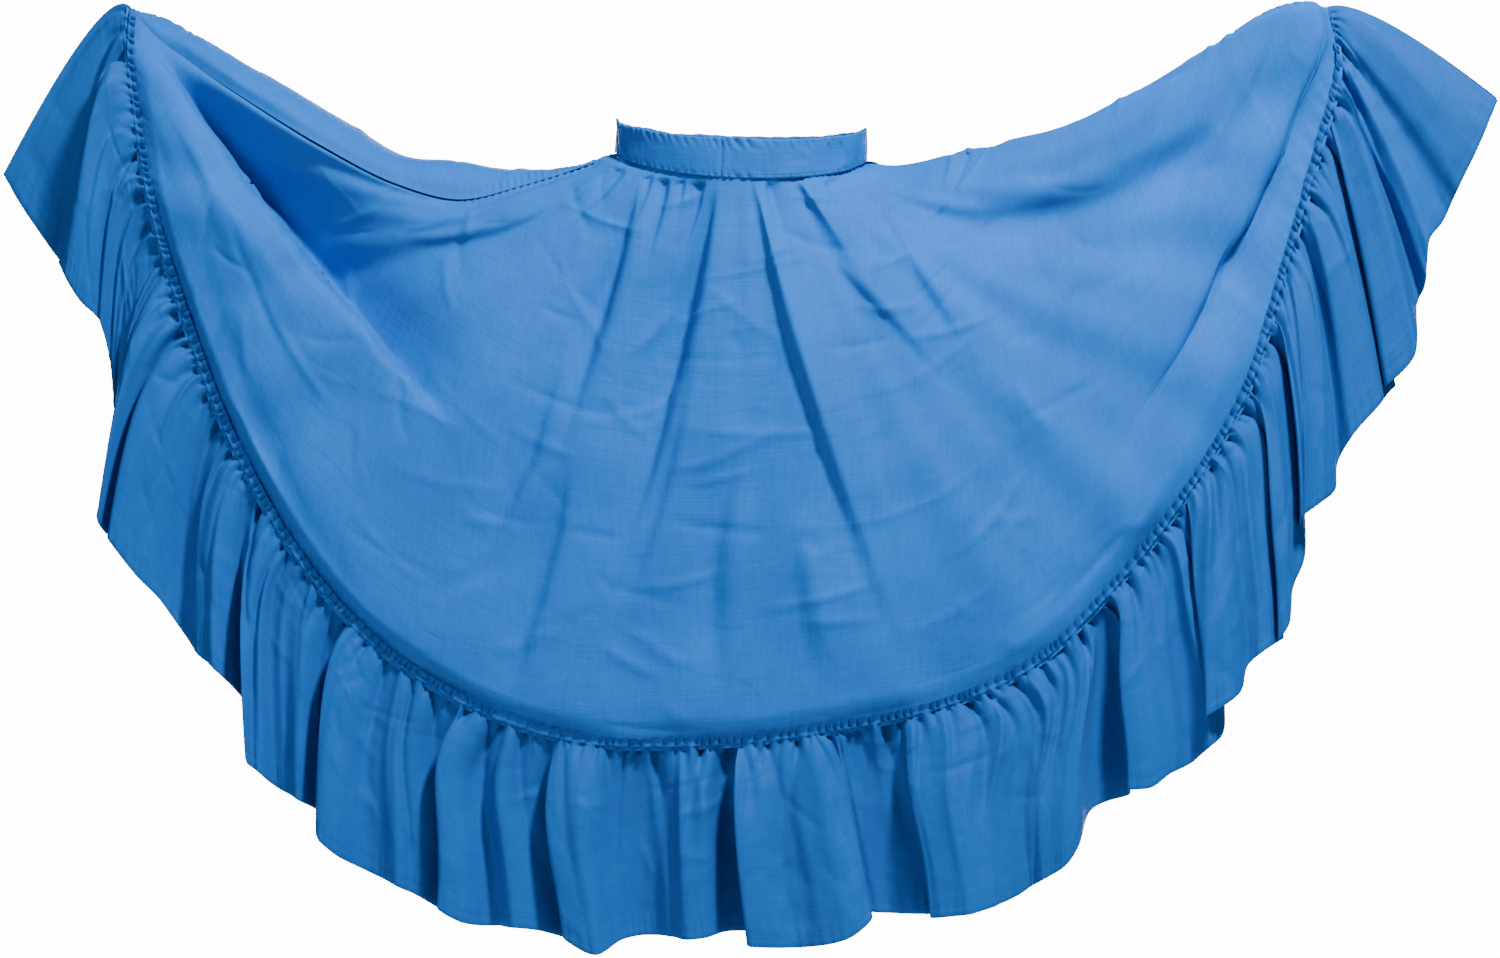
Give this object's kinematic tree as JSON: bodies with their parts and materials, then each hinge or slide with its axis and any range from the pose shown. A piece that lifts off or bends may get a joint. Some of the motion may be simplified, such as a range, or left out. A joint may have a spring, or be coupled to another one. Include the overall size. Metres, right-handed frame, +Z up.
{
  "type": "dance skirt",
  "caption": "Full-circle folk dance skirt with a band waist and a deep gathered ruffle, worn and held out at both sides",
  "frame": {"origin": "middle of the waist oval, level with the band's lower edge at the sides, where the wearer's waist holds the skirt", "axes": "+X to the viewer's right as the picture shows it (the wearer's left), +Y to the back of the skirt, +Z up"},
  "size_m": [1.76, 0.4543, 1.1],
  "materials": {
    "waistband_cloth": "woven poly-cotton, soft sheen",
    "front_panel_cloth": "woven poly-cotton, soft sheen",
    "back_panel_cloth": "woven poly-cotton, soft sheen",
    "ruffle_cloth": "woven poly-cotton, soft sheen"
  },
  "bodies": {
    "root": {"waistband": "waistband_cloth", "front_panel": "front_panel_cloth", "back_panel": "back_panel_cloth", "ruffle_front": "ruffle_cloth", "ruffle_back": "ruffle_cloth"}
  },
  "joints": []
}
